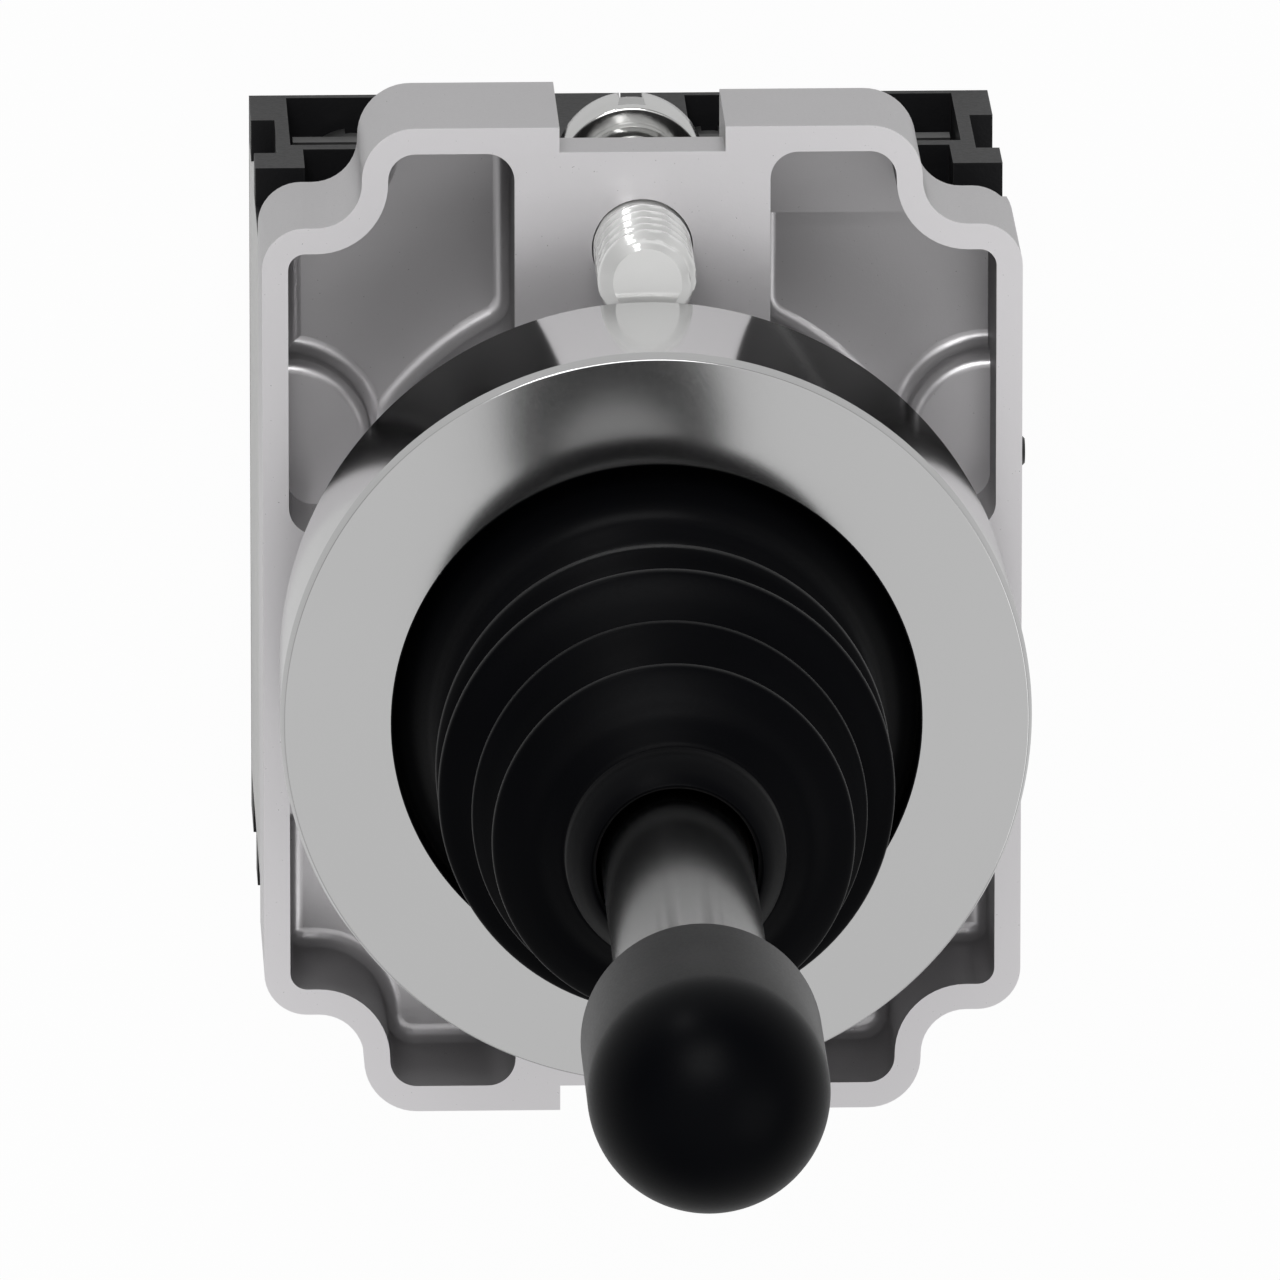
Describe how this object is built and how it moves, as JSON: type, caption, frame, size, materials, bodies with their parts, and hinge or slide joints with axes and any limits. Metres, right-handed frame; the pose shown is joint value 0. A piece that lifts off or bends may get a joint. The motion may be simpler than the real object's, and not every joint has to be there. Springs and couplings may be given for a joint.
{
  "type": "joystick switch",
  "caption": "Panel-mounted joystick switch: a spring-return lever in a pleated boot and chrome bezel works four contacts through a gimbal, a cross and pushers behind a collar",
  "frame": {"origin": "middle of the rear face of the two contact blocks", "axes": "+Z runs along the lever towards the hand, +Y is the top of the switch, where the clamp screw is, and +X is to the right seen from the front of the panel"},
  "size_m": [0.0308, 0.04, 0.1056],
  "materials": {
    "cast_zinc": "satin die-cast zinc, light grey",
    "cast_zinc_barrel": "die-cast zinc, machined bore",
    "bezel_chrome": "satin front face, bright turned side",
    "plated_screw": "bright zinc plate",
    "seal_rubber": "soft black seal",
    "boot_rubber": "black moulded bellows, slight sheen",
    "inner_plastic": "moulded black plastic",
    "ground_steel": "ground steel pin",
    "gimbal_brass": "turned brass",
    "lever_chrome": "polished steel rod",
    "spring_steel": "spring steel",
    "knob_plastic": "smooth black plastic",
    "block_plastic": "dark grey moulded plastic",
    "cover_plastic": "dark grey moulded plastic",
    "contact_brass": "stamped brass",
    "plated_steel": "zinc-plated steel",
    "pin_plastic": "black plastic pin",
    "label_film": "bare white label film",
    "pusher_plastic": "light grey acetal",
    "plunger_plastic": "moulded green plastic"
  },
  "bodies": {
    "base": {"mounting_collar": "cast_zinc", "clamp_screw": "plated_screw", "head_barrel": "cast_zinc_barrel", "bezel": "bezel_chrome", "panel_gasket": "seal_rubber", "boot_clamp_ring": "inner_plastic", "boot": "boot_rubber", "gimbal_pins": "ground_steel", "pusher_guide": "inner_plastic", "guide_clip_ring": "spring_steel", "contact_block_left": "block_plastic", "contact_block_right": "block_plastic", "block_cover_left": "cover_plastic", "block_cover_right": "cover_plastic", "terminal_strips": "contact_brass", "terminal_clamps": "plated_steel", "terminal_screws": "plated_steel", "latch_pin": "pin_plastic", "side_label": "label_film", "contact_spring_right": "spring_steel", "contact_spring_up": "spring_steel", "contact_spring_left": "spring_steel", "contact_spring_down": "spring_steel"},
    "gimbal": {"gimbal_ring": "gimbal_brass"},
    "lever": {"lever_shaft": "lever_chrome", "lever_pin": "ground_steel", "retaining_clip": "spring_steel", "knob": "knob_plastic", "actuator_cross": "inner_plastic"},
    "right_contact": {"pusher_right": "pusher_plastic", "plunger_right": "plunger_plastic", "bridge_right": "contact_brass"},
    "up_contact": {"pusher_up": "pusher_plastic", "plunger_up": "plunger_plastic", "bridge_up": "contact_brass"},
    "left_contact": {"pusher_left": "pusher_plastic", "plunger_left": "plunger_plastic", "bridge_left": "contact_brass"},
    "down_contact": {"pusher_down": "pusher_plastic", "plunger_down": "plunger_plastic", "bridge_down": "contact_brass"}
  },
  "joints": [
    {"name": "tilt_up_down", "type": "hinge", "parent": "base", "child": "gimbal", "pos_m": [0, 0, 0.038], "axis": [1, 0, 0], "range_deg": [-15, 15], "stiffness_Nm_per_rad": 0.25},
    {"name": "tilt_left_right", "type": "hinge", "parent": "gimbal", "child": "lever", "pos_m": [0, 0, 0.038], "axis": [0, 1, 0], "range_deg": [-15, 15], "stiffness_Nm_per_rad": 0.25, "deforming": ["boot"]},
    {"name": "right_push", "type": "slide", "parent": "base", "child": "right_contact", "axis": [0, 0, 1], "range_m": [-0.00184, 0.00184], "deforming": ["contact_spring_right"]},
    {"name": "up_push", "type": "slide", "parent": "base", "child": "up_contact", "axis": [0, 0, 1], "range_m": [-0.00184, 0.00184], "deforming": ["contact_spring_up"]},
    {"name": "left_push", "type": "slide", "parent": "base", "child": "left_contact", "axis": [0, 0, 1], "range_m": [-0.00184, 0.00184], "deforming": ["contact_spring_left"]},
    {"name": "down_push", "type": "slide", "parent": "base", "child": "down_contact", "axis": [0, 0, 1], "range_m": [-0.00184, 0.00184], "deforming": ["contact_spring_down"]}
  ],
  "couplings": [
    {"joint": "right_push", "follows": "tilt_left_right", "m_per_rad": -0.007},
    {"joint": "up_push", "follows": "tilt_up_down", "m_per_rad": 0.007},
    {"joint": "left_push", "follows": "tilt_left_right", "m_per_rad": 0.007},
    {"joint": "down_push", "follows": "tilt_up_down", "m_per_rad": -0.007}
  ]
}
